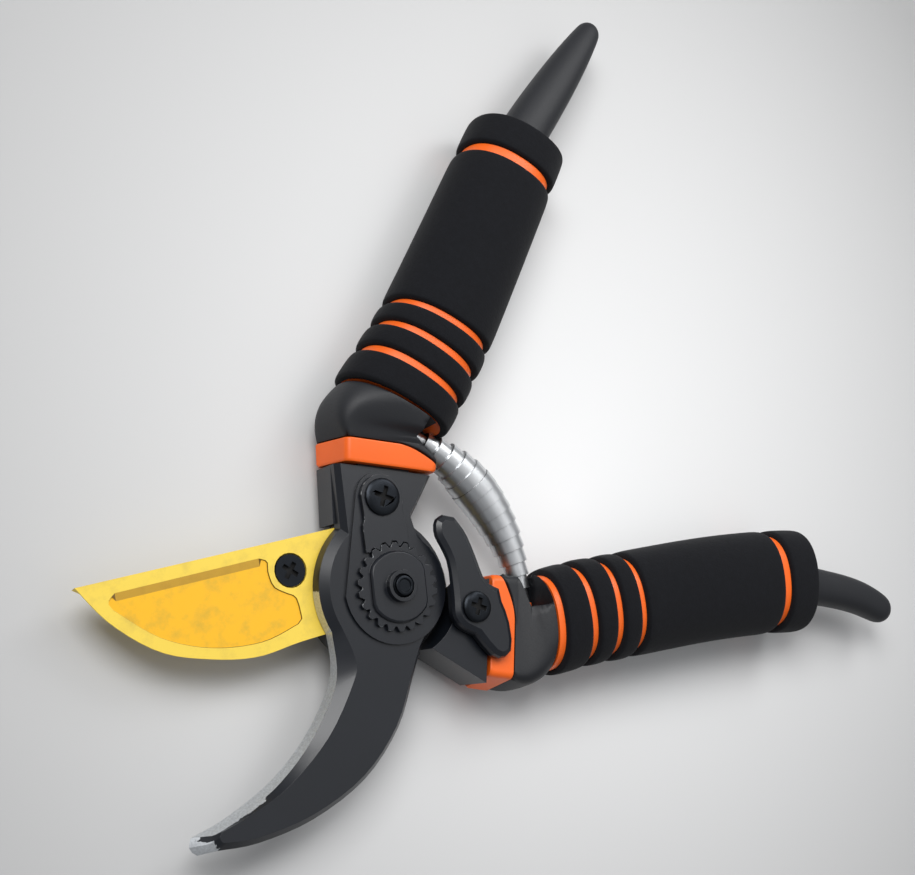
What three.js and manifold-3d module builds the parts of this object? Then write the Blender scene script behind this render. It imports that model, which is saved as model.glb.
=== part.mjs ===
// Bypass pruning shears, lying open on their back. Millimetres.
// +Z is the pivot axis, pointing from the bolt head on the table to the gear nut.
// +X runs from the pivot towards the grips, and the jaws open towards -X.
// The origin is the middle of the bolt head's flat back face.
// The upper half (+Y) is the hook with its handle; the lower half (-Y) carries the blade.
// Every length below is for the largest tool of the range, 273 mm long when closed;
// each finished mesh is scaled by SIZE to this one.

import * as THREE from 'three';
import { mergeVertices } from 'three/addons/utils/BufferGeometryUtils.js';
import Module from 'manifold-3d';

const wasm = await Module();
wasm.setup();

// ---------------------------------------------------------------- driving dimensions

const SIZE = 0.86; // this tool against the largest one: 235 mm long when closed
const GAP = 0.35; // clearance between pieces that touch, 0.3 in this tool
const CUT = 12.5; // height of the cutting plane above the table
const BLADE_THICKNESS = 2.8;
const ARM_THICKNESS = 4.6; // each steel arm where it is halved at the pivot
const HOOK_THICKNESS = 4.5;
const HOOK_WALL = 2.9; // height of the jaw's wall, up to the sloping band
const PAD_HEIGHT = 0.8; // raised teardrop pad around the nut
const DISC_RADIUS = 20; // lower arm behind the pivot
const HEAD_RADIUS = 21.1; // hook arm around the pivot, on the jaw side
const PAD_RADIUS = 15.6; // hook arm around the pivot, on the handle side
const BLOCK_BACK = -7.2; // back of both arms where they have their full depth, from CUT
const LOWER_FRONT = 6.4; // front of the lower arm's block, from CUT
const ARM_TILT = 45.5; // angle of both arms to the X axis, degrees
const TANG = { halfWidth: 7.5, halfThickness: 4.2, length: 8 };

const BOLT = { headRadius: 9, headHeight: 3.6, shank: 3.6, thread: 2.9, point: 2.5, dimple: 1.6 };
const BUSH_RADIUS = 5;
const GEAR = { teeth: 22, tip: 11.5, root: 10.2, thickness: 1.1 };
const NUT = { bossRadius: 9.3, bossHeight: 1.1, flat: 7.9, collarRadius: 4.1, collarHeight: 1.8 };
const SCREW = { shank: 2, hole: 2.3 };
const CROSS = { reach: 0.56, halfWidth: 0.62, depth: 1 }; // reach as a share of the head
const LOCK_SCREW = { x: 12.1, y: 20, radius: 4.9, height: 1.3 };
// The lock plate runs from its screw to the nut's teeth, turned a little off the line to the nut
const LOCK_PLATE = { thickness: 1, round: 6, waist: 5.7, halfWidth: 6.4, reach: 14, turn: -125 };
const BLADE_SCREW = { x: -17.5, y: 20.9, radius: 4.1 };
const PANEL = { depth: 0.4, slope: 1.9, wall: 0.1 };
const LATCH_SCREW = { x: 12, y: -17.4, radius: 4.1, height: 1.4 };
const LATCH = { thickness: 3.4, under: 1.7, hub: 6.5, round: 1.7 };

const GRIP = { halfThickness: 12.5, length: 95.6, wall: 0.8, groove: 0.9 };
const CORE = { halfWidth: 7.2, halfThickness: 6.4 };
// The lap is the knee's edge over the collar: back from the collar's end, and across the arm
const COLLAR = {
  halfWidth: 15,
  top: 6.8,
  bottom: -8.2,
  corner: 2,
  slope: 2.2,
  lap: [[-0.6, 2], [0.4, 7], [2.2, 11.5], [4.4, 15.6]],
};
// Foam pieces, from and to, in millimetres along the grip from the knee
const FOAM = [
  ['grip_ring_1', 2.3, 10.3],
  ['grip_ring_2', 13.1, 19.2],
  ['grip_ring_3', 22.0, 27.6],
  ['grip_sleeve', 30.2, 82.0],
  ['grip_end_ring', 85.6, GRIP.length],
];

// Height of each layer above the table
const LAYER = {
  armBack: CUT - 3.3 - ARM_THICKNESS,
  armFront: CUT - 3.3,
  bladeBack: CUT - 0.2 - BLADE_THICKNESS,
  bladeFront: CUT - 0.2,
  hookBack: CUT + 0.15,
  hookFront: CUT + HOOK_THICKNESS,
  pad: CUT + HOOK_THICKNESS + PAD_HEIGHT,
  latch: CUT + LOWER_FRONT + GAP + 0.5,
};

// ---------------------------------------------------------------- materials

const finish = (color, roughness, metalness) =>
  new THREE.MeshStandardMaterial({ color, roughness, metalness });
const FINISH = {
  painted: finish('#34373c', 0.5, 0.3),
  coated: finish('#f5cf2c', 0.45, 0.2),
  blackened: finish('#26282c', 0.4, 0.7),
  bright: finish('#c9ccd0', 0.22, 1),
  zinc: finish('#9ea3a8', 0.35, 0.9),
  bronze: finish('#a9814c', 0.4, 0.8),
  vinyl: finish('#2b2c30', 0.55, 0),
  foam: finish('#17181a', 0.95, 0),
  orange: finish('#ff7a1c', 0.5, 0),
};

// ---------------------------------------------------------------- shape helpers

const ROUND = 20; // sides of a small round
const radians = THREE.MathUtils.degToRad;
const at = (x, y) => new THREE.Vector2(x, y);
const polar = (radius, degrees, x = 0, y = 0) =>
  at(x + radius * Math.cos(radians(degrees)), y + radius * Math.sin(radians(degrees)));

// Points of an arc, both ends included
function arc(radius, from, to, steps, x = 0, y = 0) {
  return Array.from({ length: steps + 1 }, (_, i) =>
    polar(radius, from + ((to - from) * i) / steps, x, y));
}

// A smooth curve through a few points
function smooth(points, steps) {
  return new THREE.SplineCurve(points.map(([x, y]) => at(x, y))).getPoints(steps);
}

const circle = (radius, x = 0, y = 0, steps = ROUND) =>
  arc(radius, 0, 360, steps, x, y).slice(0, -1);

// The outline moved inwards by a distance, or by one distance for each point
function inset(outline, distance) {
  return outline.map((point, i) => {
    const before = outline[(i + outline.length - 1) % outline.length];
    const after = outline[(i + 1) % outline.length];
    const along = after.clone().sub(before).normalize();
    const amount = Array.isArray(distance) ? distance[i] : distance;
    return at(point.x - along.y * amount, point.y + along.x * amount);
  });
}

// One closed outline from several runs of points, without repeats where the runs meet
function outlineOf(...runs) {
  const points = runs.flat();
  return points.filter((p, i) => p.distanceTo(points[(i + 1) % points.length]) > 1e-3);
}

const level = (outline, z) => outline.map((p) => new THREE.Vector3(p.x, p.y, z));

// A closed skin over rings of equal point count; its ends are capped, or joined to each other
function skin(rings, joined = false) {
  const count = rings[0].length;
  const positions = rings.flat().flatMap((p) => [p.x, p.y, p.z]);
  const faces = [];
  const spans = joined ? rings.length : rings.length - 1;
  for (let r = 0; r < spans; r++) {
    const here = r * count;
    const next = ((r + 1) % rings.length) * count;
    for (let i = 0; i < count; i++) {
      const j = (i + 1) % count;
      faces.push(here + i, here + j, next + j, here + i, next + j, next + i);
    }
  }
  if (!joined) {
    cap(rings[0]).forEach(([a, b, c]) => faces.push(c, b, a));
    const last = (rings.length - 1) * count;
    cap(rings.at(-1)).forEach(([a, b, c]) => faces.push(last + a, last + b, last + c));
  }
  const geometry = new THREE.BufferGeometry();
  geometry.setAttribute('position', new THREE.Float32BufferAttribute(positions, 3));
  geometry.setIndex(faces);
  if (volume(geometry) < 0) {
    const index = geometry.index.array;
    for (let i = 0; i < index.length; i += 3) {
      [index[i], index[i + 1]] = [index[i + 1], index[i]];
    }
  }
  return geometry;
}

// Triangles over a flat ring, turning the same way as the ring
function cap(ring) {
  const normal = new THREE.Vector3();
  ring.forEach((p, i) => normal.add(p.clone().cross(ring[(i + 1) % ring.length])));
  normal.normalize();
  const u = ring[1].clone().sub(ring[0]).normalize();
  const v = normal.clone().cross(u);
  return THREE.ShapeUtils.triangulateShape(ring.map((p) => at(p.dot(u), p.dot(v))), []);
}

function volume(geometry) {
  const p = geometry.attributes.position;
  const index = geometry.index.array;
  const corner = (i) => new THREE.Vector3().fromBufferAttribute(p, index[i]);
  let sum = 0;
  for (let i = 0; i < index.length; i += 3) {
    sum += corner(i).dot(corner(i + 1).cross(corner(i + 2)));
  }
  return sum;
}

const slab = (outline, from, to) => skin([level(outline, from), level(outline, to)]);

// A plate with a small chamfer round its front edge
function chamfered(outline, from, to, chamfer) {
  return skin([
    level(outline, from),
    level(outline, to - chamfer),
    level(inset(outline, chamfer), to),
  ]);
}

// A turned piece on a vertical axis, from [radius, z] pairs that start and end on the axis
function turned(profile, x = 0, y = 0, steps = ROUND) {
  const geometry = new THREE.LatheGeometry(profile.map(([r, z]) => at(r, z)), steps);
  return geometry.rotateX(Math.PI / 2).translate(x, y, 0);
}

const rod = (radius, from, to, x = 0, y = 0, steps = ROUND) =>
  slab(circle(radius, x, y, steps), from, to);

// A block with square corners, centred on the X axis and turned about Z
function bar(halfWidth, from, to, bottom, top, start, degrees) {
  const outline = [at(from, -halfWidth), at(to, -halfWidth), at(to, halfWidth), at(from, halfWidth)];
  const turn = radians(degrees);
  return slab(outline.map((p) => p.rotateAround(at(0, 0), turn).add(start)), bottom, top);
}

function solid(geometry) {
  const bare = geometry.clone();
  bare.deleteAttribute('normal');
  bare.deleteAttribute('uv');
  const merged = mergeVertices(bare, 1e-4);
  return new wasm.Manifold(new wasm.Mesh({
    numProp: 3,
    vertProperties: new Float32Array(merged.attributes.position.array),
    triVerts: new Uint32Array(merged.index.array),
  }));
}

function fromSolid(manifold) {
  const { vertProperties, triVerts } = manifold.getMesh();
  const geometry = new THREE.BufferGeometry();
  geometry.setAttribute('position', new THREE.BufferAttribute(vertProperties, 3));
  geometry.setIndex(new THREE.BufferAttribute(triVerts, 1));
  return geometry;
}

const cut = (geometry, ...tools) =>
  fromSolid(tools.reduce((body, tool) => body.subtract(solid(tool)), solid(geometry)));
const join = (geometry, ...others) =>
  fromSolid(others.reduce((body, other) => body.add(solid(other)), solid(geometry)));
const common = (geometry, other) => fromSolid(solid(geometry).intersect(solid(other)));

// ---------------------------------------------------------------- assembly

const shears = new THREE.Group();

function add(name, geometry, material) {
  geometry.scale(SIZE, SIZE, SIZE);
  geometry.computeVertexNormals();
  const mesh = new THREE.Mesh(geometry, material);
  mesh.name = name;
  shears.add(mesh);
}

// Countersink or clearance hole for a screw
const hole = (screw, radius, from, to) => rod(radius, from, to, screw.x, screw.y);

// A cross recess, as cutting tools, in a screw head whose top is at z
function crossRecess(screw, z, turn) {
  const reach = screw.radius * CROSS.reach;
  const slot = (degrees) =>
    bar(CROSS.halfWidth, -reach, reach, z - CROSS.depth, z + 1, at(screw.x, screw.y), degrees);
  return [slot(turn), slot(turn + 90)];
}

// ---------------------------------------------------------------- hook arm

// Each outline runs down the head's left side, round the jaw, back along the outer edge,
// round the pad and up the head's right side, where the arm enters its collar.
function hookOutline({ left, round, jaw, tip, outer, pad, right }) {
  return [
    at(...left),
    ...arc(round, 93, 172, 14),
    ...smooth(jaw, 26).slice(1),
    ...smooth(tip, 6).slice(1),
    ...smooth(outer, 24).slice(1),
    ...arc(pad, -98, 14, 14),
    at(...right[0]),
    at(...right[1]),
  ];
}

const hookBack = hookOutline({
  left: [8.7, 34.3],
  round: HEAD_RADIUS,
  jaw: [[-20.9, 2.9], [-25.2, -3.7], [-30.9, -7.9], [-42.8, -12.1], [-55.9, -13.6],
    [-69.9, -12], [-79, -9.4]],
  tip: [[-79, -9.4], [-80.9, -10.8], [-80.6, -13.5], [-77.8, -14.9]],
  outer: [[-77.8, -14.9], [-68.4, -21.4], [-54.5, -27.3], [-38, -29.9], [-22.7, -27.1],
    [-10.8, -20.6], [-4.4, -16.9]],
  pad: PAD_RADIUS,
  right: [[15.7, 9.6], [28.9, 14.4]],
});
const hookWallTop = hookOutline({
  left: [8.7, 34.3],
  round: HEAD_RADIUS - 0.4,
  jaw: [[-20.5, 2.9], [-25.7, -5], [-31.2, -9], [-42.6, -13.2], [-55.8, -14.9],
    [-68.6, -13.6], [-75.7, -11.9]],
  tip: [[-75.7, -11.9], [-77.4, -12.8], [-77.7, -14.6], [-76.6, -15.7]],
  outer: [[-76.6, -15.7], [-68.4, -21.4], [-54.5, -27.3], [-38, -29.9], [-22.7, -27.1],
    [-10.8, -20.6], [-4.4, -16.9]],
  pad: PAD_RADIUS,
  right: [[15.7, 9.6], [28.9, 14.4]],
});
const hookRidge = hookOutline({
  left: [9.6, 33.4],
  round: HEAD_RADIUS - 2.7,
  jaw: [[-18.2, 2.6], [-20.8, -6.3], [-25, -9.9], [-39, -15.2], [-55, -16.6],
    [-67.5, -14.4], [-73.6, -12.6]],
  tip: [[-73.6, -12.6], [-75, -13.1], [-75.2, -14.5], [-74.4, -15.3]],
  outer: [[-74.4, -15.3], [-67.9, -20], [-54.1, -26], [-38, -28.6], [-23.2, -25.9],
    [-11.4, -19.4], [-4.8, -15.8]],
  pad: PAD_RADIUS - 0.6,
  right: [[15, 10.6], [28, 15.3]],
});

const padOutline = [
  ...arc(PAD_RADIUS - 1, 150, 382, 28),
  ...arc(LOCK_PLATE.round + 0.9, -25, 128, 10, LOCK_SCREW.x, LOCK_SCREW.y),
];

// The full depth of the upper arm starts outside the sweep of the lower arm's disc
const upperBlock = [
  ...arc(DISC_RADIUS + 0.7, 30, 85, 8),
  at(-0.9, 22.4),
  at(8.7, 34.3),
  at(28.9, 14.4),
];

const upperStart = at(19.1, 24.6); // middle of the arm where it enters the collar
const lowerStart = at(13.7, -26);
const tang = (start, tilt, grow) =>
  bar(TANG.halfWidth + grow, -3, TANG.length + grow,
    CUT - TANG.halfThickness - 0.8 - grow, CUT + TANG.halfThickness - 0.8 + grow, start, tilt);

function hookArm() {
  const plate = skin([
    level(hookBack, LAYER.hookBack),
    level(hookWallTop, CUT + HOOK_WALL),
    level(hookRidge, LAYER.hookFront),
  ]);
  const whole = join(
    plate,
    slab(upperBlock, CUT + BLOCK_BACK, CUT + 1),
    slab(padOutline, CUT + 1, LAYER.pad),
    tang(upperStart, ARM_TILT, 0),
  );
  return cut(
    whole,
    rod(BUSH_RADIUS + GAP, CUT - 1, LAYER.pad + 1),
    hole(LOCK_SCREW, SCREW.hole, CUT - 4, LAYER.pad + 1),
  );
}
add('hook_arm', hookArm(), FINISH.painted);

// ---------------------------------------------------------------- blade and lower arm

const EDGE_POINTS = 26; // along the cutting edge
const bladeOutline = [
  at(-62.3, 52.6),
  ...smooth([[-62.3, 52.6], [-61.2, 40.7], [-56.3, 27.8], [-47.8, 18.1], [-38.5, 10.7],
    [-28.1, 6.2], [-20.5, 2.6]], EDGE_POINTS).slice(1),
  ...arc(15, 184, 395, 18),
  at(10.4, 13.2),
  at(4.6, 18.5),
];
// How far the ground bevel on the back reaches in from each point of the outline
const bevelWidth = bladeOutline.map((point, i) => (i > 0 && i < EDGE_POINTS
  ? Math.min(5.2, 0.3 + 0.5 * point.distanceTo(bladeOutline[0]),
    0.3 + 0.8 * point.distanceTo(bladeOutline[EDGE_POINTS]))
  : 0.3));

const panelOutline = outlineOf(
  smooth([[-55.8, 45.6], [-58.4, 44.9], [-58.6, 42.6]], 5),
  smooth([[-58.6, 42.6], [-54.1, 30.3], [-46, 20.1], [-35.1, 12.5], [-24.8, 9.5]], 20),
  smooth([[-23.2, 9.8], [-22.6, 10.7], [-20.8, 14.8], [-22.2, 17.6], [-23.6, 20.8],
    [-22.4, 24.4], [-20.9, 26.6], [-22.2, 28.6]], 18),
);

// The panel's floor, drawn in along the spine, where the panel's side slopes
const panelFloor = inset(panelOutline, panelOutline.map((_, i) =>
  (i === 0 || i === panelOutline.length - 1 ? PANEL.slope : PANEL.wall)));

function cuttingBlade() {
  const floor = LAYER.bladeFront - PANEL.depth;
  const plate = skin([
    level(inset(bladeOutline, bevelWidth), LAYER.bladeBack),
    level(bladeOutline, LAYER.bladeFront - 0.4),
    level(bladeOutline, LAYER.bladeFront),
  ]);
  return cut(
    plate,
    skin([
      level(panelFloor, floor),
      level(panelOutline, LAYER.bladeFront),
      level(panelOutline, LAYER.bladeFront + 1),
    ]),
    rod(BUSH_RADIUS + GAP, LAYER.bladeBack - 1, LAYER.bladeFront + 1),
    hole(BLADE_SCREW, BLADE_SCREW.radius + GAP, LAYER.bladeFront - 1.6, LAYER.bladeFront + 1),
    hole(BLADE_SCREW, SCREW.hole, LAYER.bladeBack - 1, LAYER.bladeFront + 1),
  );
}
add('cutting_blade', cuttingBlade(), FINISH.coated);

function bladeScrew() {
  const top = LAYER.bladeFront - 0.05;
  const body = join(
    hole(BLADE_SCREW, BLADE_SCREW.radius, LAYER.bladeFront - 1.3, top),
    hole(BLADE_SCREW, SCREW.shank, LAYER.armBack + 0.4, LAYER.bladeFront - 1),
  );
  return cut(body, ...crossRecess(BLADE_SCREW, top, 20));
}
add('blade_screw', bladeScrew(), FINISH.blackened);

// The tongue behind the blade: the outside of two circles, the second round the blade screw
const tongueTurn = Math.atan2(BLADE_SCREW.y, BLADE_SCREW.x) * (180 / Math.PI);
const TONGUE = { root: 12, end: 5.5, wrap: 76.2 };
const tongueOutline = [
  ...arc(TONGUE.root, tongueTurn + TONGUE.wrap, tongueTurn + 360 - TONGUE.wrap, 16),
  ...arc(TONGUE.end, tongueTurn - TONGUE.wrap, tongueTurn + TONGUE.wrap, 10,
    BLADE_SCREW.x, BLADE_SCREW.y),
];

// The full depth of the lower arm starts outside the sweep of the hook arm's round
const lowerBlock = [
  ...arc(18.2, -100, -38, 12),
  at(22.6, -16),
  at(3, -35.2),
];

function lowerArm() {
  const whole = join(
    rod(DISC_RADIUS, LAYER.armBack, LAYER.armFront, 0, 0, 40),
    slab(tongueOutline, LAYER.armBack, LAYER.armFront),
    slab(lowerBlock, CUT + BLOCK_BACK, CUT + LOWER_FRONT),
    tang(lowerStart, -ARM_TILT, 0),
  );
  return cut(
    whole,
    rod(BOLT.shank + GAP, LAYER.armBack - 1, LAYER.armFront + 1),
    hole(BLADE_SCREW, SCREW.hole, LAYER.armBack - 1, LAYER.armFront + 1),
    hole(LATCH_SCREW, SCREW.hole, CUT - 2, CUT + LOWER_FRONT + 1),
  );
}
add('lower_arm', lowerArm(), FINISH.painted);

// ---------------------------------------------------------------- pivot

function pivotBolt() {
  const nutTop = LAYER.pad + 0.1 + GEAR.thickness + NUT.bossHeight + NUT.collarHeight;
  return turned([
    [0, 0],
    [BOLT.headRadius - 0.8, 0],
    [BOLT.headRadius, 0.8],
    [BOLT.headRadius, BOLT.headHeight],
    [BOLT.shank, BOLT.headHeight],
    [BOLT.shank, LAYER.pad - 0.4],
    [BOLT.thread, LAYER.pad - 0.2],
    [BOLT.thread, nutTop - 0.3],
    [BOLT.point, nutTop],
    [BOLT.point, nutTop + 0.7],
    [BOLT.dimple + 0.2, nutTop + 0.8],
    [BOLT.dimple, nutTop + 0.4],
    [0, nutTop + 0.4],
  ]);
}
add('pivot_bolt', pivotBolt(), FINISH.blackened);

function washer(inner, outer, from, to) {
  return cut(rod(outer, from, to), rod(inner, from - 1, to + 1));
}
add('pivot_washer',
  washer(BOLT.shank + GAP, BOLT.headRadius, BOLT.headHeight + 0.15, LAYER.armBack - 0.15),
  FINISH.zinc);
add('pivot_bushing',
  washer(BOLT.shank + 0.15, BUSH_RADIUS, LAYER.armFront + 0.15, LAYER.pad - 0.3),
  FINISH.bronze);

// Teeth with slanted sides, grown outwards by a clearance
function gearOutline(grow) {
  const pitch = 360 / GEAR.teeth;
  return Array.from({ length: GEAR.teeth }, (_, i) => [
    polar(GEAR.root + grow, (i - 0.36) * pitch),
    polar(GEAR.root + grow, (i - 0.22) * pitch),
    polar(GEAR.tip + grow, (i + 0.02) * pitch),
    polar(GEAR.tip + grow, (i + 0.4) * pitch),
  ]).flat();
}

function gearNut() {
  const flange = LAYER.pad + 0.1;
  const boss = flange + GEAR.thickness;
  const collar = boss + NUT.bossHeight;
  const flats = circle(NUT.bossRadius, 0, 0, 28)
    .map((p) => at(Math.max(-NUT.flat, Math.min(NUT.flat, p.x)), p.y));
  const turn = radians(-36);
  const bossOutline = flats.map((p) => p.rotateAround(at(0, 0), turn));
  const whole = join(
    slab(gearOutline(0), flange, boss),
    chamfered(bossOutline, boss - 0.2, collar, 0.5),
    rod(NUT.collarRadius, collar - 0.2, collar + NUT.collarHeight),
  );
  return cut(whole, rod(BOLT.thread + 0.15, flange - 1, collar + 3));
}
add('gear_nut', gearNut(), FINISH.painted);

function lockPlate() {
  const bottom = LAYER.pad + 0.1;
  const top = bottom + LOCK_PLATE.thickness;
  const { round, waist, halfWidth, reach, turn } = LOCK_PLATE;
  const side = [[3.6, waist], [5.6, waist], [7, halfWidth], [reach, halfWidth]];
  const outline = [
    ...arc(round, 100, 260, 12),
    ...side.map(([along, across]) => at(along, -across)),
    ...side.toReversed().map(([along, across]) => at(along, across)),
  ].map((p) => p.rotateAround(at(0, 0), radians(turn)).add(at(LOCK_SCREW.x, LOCK_SCREW.y)));
  return cut(
    slab(outline, bottom, top),
    slab(gearOutline(GAP), bottom - 1, top + 1),
    hole(LOCK_SCREW, SCREW.hole, bottom - 1, top + 1),
  );
}
add('lock_plate', lockPlate(), FINISH.painted);

// A pan-head screw whose head rests at z and whose shank reaches down by a length
function panScrew(screw, z, length) {
  const top = z + screw.height;
  const body = turned([
    [0, z - length],
    [SCREW.shank, z - length],
    [SCREW.shank, z],
    [screw.radius, z],
    [screw.radius, z + screw.height * 0.45],
    [screw.radius * 0.75, top],
    [0, top],
  ], screw.x, screw.y);
  return cut(body, ...crossRecess(screw, top, 33));
}
add('lock_plate_screw',
  panScrew(LOCK_SCREW, LAYER.pad + 0.15 + LOCK_PLATE.thickness, 6), FINISH.blackened);

// ---------------------------------------------------------------- thumb latch

function latchLever() {
  const top = LAYER.latch + LATCH.thickness;
  const outline = [
    ...smooth([[21.4, 6.2], [18.4, 6.5], [15.9, 3.8], [15.1, 0.2], [13.8, -4.2], [9.4, -10.6],
      [6.6, -14]], 14),
    ...arc(LATCH.hub, 160, 210, 5, LATCH_SCREW.x, LATCH_SCREW.y),
    ...smooth([[7.6, -23], [7.7, -29.6], [9.8, -32.9], [13.7, -32.7], [18, -26.8], [19.7, -21.9]], 9),
    ...smooth([[21.4, -18.8], [19.7, -14.4], [21.8, -7.9], [23.6, -1.6], [23.7, 3.6]], 10),
  ];
  const body = skin([
    level(outline, LAYER.latch),
    level(outline, top - LATCH.round),
    level(inset(outline, LATCH.round * 0.25), top - LATCH.round * 0.45),
    level(inset(outline, LATCH.round), top),
  ]);
  // The horn is raised, so that it clears the lock plate's screw when the shears close
  const under = slab([at(0, -9), at(30, -9), at(30, 10), at(0, 10)],
    LAYER.latch - 1, LAYER.latch + LATCH.under);
  return cut(body, under, hole(LATCH_SCREW, SCREW.hole, LAYER.latch - 1, top + 2));
}
add('latch_lever', latchLever(), FINISH.painted);
add('latch_screw',
  panScrew(LATCH_SCREW, LAYER.latch + LATCH.thickness + 0.15, 9), FINISH.blackened);
add('latch_washer', cut(
  hole(LATCH_SCREW, 5.4, CUT + LOWER_FRONT + 0.1, LAYER.latch - 0.1),
  hole(LATCH_SCREW, SCREW.hole, CUT, LAYER.latch + 1)), FINISH.zinc);

// ---------------------------------------------------------------- handles

const SIDES = 20;

// Stands a flat outline upright across a handle, square to its direction
function upright(outline, x, y, degrees, middle) {
  const across = polar(1, degrees + 90);
  return outline.map((p) => new THREE.Vector3(x + across.x * p.x, y + across.y * p.x, middle + p.y));
}

// A soft oval across a handle
function section(x, y, degrees, halfWidth, top, bottom, power = 2.3, sides = SIDES) {
  const bend = (value) => Math.sign(value) * Math.abs(value) ** (2 / power);
  const oval = Array.from({ length: sides }, (_, i) => {
    const angle = ((i + 0.5) / sides) * 2 * Math.PI;
    return at(halfWidth * bend(Math.cos(angle)), ((top - bottom) / 2) * bend(Math.sin(angle)));
  });
  return upright(oval, x, y, degrees, CUT + (top + bottom) / 2);
}

// A box with round corners across a handle; its outer side leans in by a slope towards the top
function boxSection(x, y, degrees, halfWidth, top, bottom, radius, slope) {
  const u = halfWidth - radius;
  const v = (top - bottom) / 2 - radius;
  const corners = [[u - Math.max(0, slope), v], [-u - Math.min(0, slope), v], [-u, -v], [u, -v]];
  const box = corners.flatMap(([cornerX, cornerY], i) =>
    arc(radius, i * 90, (i + 1) * 90, SIDES / 4 - 1, cornerX, cornerY));
  return upright(box, x, y, degrees, CUT + (top + bottom) / 2);
}

// The grip's centre line, with the point and direction at a distance along it. The foam's
// joints are not quite square to the line: they lean towards the outer side, most at the knee.
function centreLine({ grip, shift, tilt, widths }) {
  const side = Math.sign(tilt);
  const curve = new THREE.SplineCurve(grip.map(([x, y]) => at(x, y)));
  const length = curve.getLength();
  return (distance) => {
    const t = (distance + shift) / length;
    const inside = THREE.MathUtils.clamp(t, 0, 1);
    const tangent = curve.getTangentAt(inside);
    const point = curve.getPointAt(inside).addScaledVector(tangent, (t - inside) * length);
    const lean = side * (3 + 6 * THREE.MathUtils.clamp(1 - distance / 14, 0, 1));
    const degrees = Math.atan2(tangent.y, tangent.x) * (180 / Math.PI) + lean;
    const halfWidth = THREE.MathUtils.lerp(...widths, distance / GRIP.length);
    return { place: [point.x, point.y, degrees], halfWidth };
  };
}

function ring(line, distance, scale) {
  const { place, halfWidth } = line(distance);
  const halfThickness = GRIP.halfThickness * scale;
  return section(...place, halfWidth * scale, halfThickness, -halfThickness);
}

function coreRing(line, distance, grow) {
  const halfThickness = CORE.halfThickness + grow;
  return section(...line(distance).place, CORE.halfWidth + grow, halfThickness, -halfThickness);
}

// Where the rings between the two ends of a foam piece stand, so that it follows the bend
function between(from, to) {
  const spans = to - from > 20 ? 6 : 1;
  return Array.from({ length: spans - 1 }, (_, i) => from + ((to - from) * (i + 1)) / spans);
}

// A foam tube with rounded ends
function foamTube(line, from, to) {
  const round = 1.4;
  const bore = GRIP.wall + GAP / GRIP.halfThickness;
  const middle = between(from, to);
  const edge = [[0, 0.94], [0.3, 0.985], [1, 1]];
  const outer = [
    ...edge.map(([share, scale]) => [from + round * share, scale]),
    ...middle.map((distance) => [distance, 1]),
    ...edge.toReversed().map(([share, scale]) => [to - round * share, scale]),
  ];
  const inner = [to, ...middle.toReversed(), from];
  return skin([
    ...outer.map(([distance, scale]) => ring(line, distance, scale)),
    ...inner.map((distance) => ring(line, distance, bore)),
  ], true);
}

// The orange sleeve under the foam, with a rib that fills each groove between foam pieces
function innerSleeve(line, lip) {
  const outer = [[lip + GAP, GRIP.groove], [FOAM[0][1] - GAP, GRIP.groove]];
  FOAM.forEach(([, from, to], i) => {
    outer.push([from - GAP, GRIP.wall]);
    between(from, to).forEach((distance) => outer.push([distance, GRIP.wall]));
    outer.push([to + GAP, GRIP.wall]);
    if (i < FOAM.length - 1) {
      outer.push([to + GAP, GRIP.groove], [FOAM[i + 1][1] - GAP, GRIP.groove]);
    }
  });
  const last = outer.at(-1)[0] - 2;
  outer[outer.length - 1] = [last, GRIP.wall];
  const bore = [last, 70, 50, 30, 15, outer[0][0]];
  return skin([
    ...outer.map(([distance, scale]) => ring(line, distance, scale)),
    ...bore.map((distance) => coreRing(line, distance, GAP)),
  ], true);
}

// Handles are alike but for their bend: knee is the outer corner below the foam
const HANDLES = {
  upper: {
    start: upperStart,
    tilt: ARM_TILT,
    shift: -1.7, // of the foam along the grip
    widths: [17, 14.9], // half width at the knee and at the far end
    lip: 1.6, // where the knee ends, along the grip
    collar: [0.3, 6.4],
    knee: [[26, 31.8, 41, 16.4], [28.6, 33.6, 32, 16.9]],
    grip: [[33.2, 34.6], [43.1, 37.3], [58.6, 42.3], [83.5, 52.4], [108.4, 62.8], [120, 67.6]],
    tail: [[126, 69.3, 16, 7.3], [143, 73.6, 14.5, 6.7], [159, 77.7, 14, 5.4], [168.6, 80.2, 13.5, 4]],
    seat: { degrees: 26.4, radius: 2.4, spread: 2.6 },
  },
  lower: {
    start: lowerStart,
    tilt: -ARM_TILT,
    shift: 0,
    widths: [14.6, 15.6],
    lip: -0.4,
    collar: [0.3, 7.2],
    knee: [[21.9, -33.3, -42, 16.2], [25.2, -35.2, -38, 15.6]],
    grip: [[29, -36.9], [41, -43.2], [49, -48.1], [80, -67.2], [100.2, -81.2], [109.4, -88.4]],
    tail: [[113.8, -93.9, -48, 5.7], [121.2, -102, -50, 5.6], [127.4, -110, -58, 5.4],
      [130.9, -117.2, -68, 4.9]],
    seat: { degrees: -35, radius: 2.3, spread: 1.4 },
  },
};

// ---------------------------------------------------------------- return spring

const SPRING = { x: -17.3, y: 1.5, bend: 56.4, from: -33.4, to: 25, steps: 16, sides: 16 };
const COIL = { lowerEnd: 1.8, widest: 6.2, upperEnd: 1.8, peak: 0.6, power: 1.6 };
const SEAT = { wall: 0.9, depth: 1.6, rim: 1.2, notch: 14 };
const springPoint = (degrees) => polar(SPRING.bend, degrees, SPRING.x, SPRING.y);

// A round across the spring's line, whose direction is square to the bend's radius
function springRing(degrees, radius) {
  const centre = springPoint(degrees);
  return section(centre.x, centre.y, degrees + 90, radius, radius, -radius, 2, SPRING.sides);
}

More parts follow.
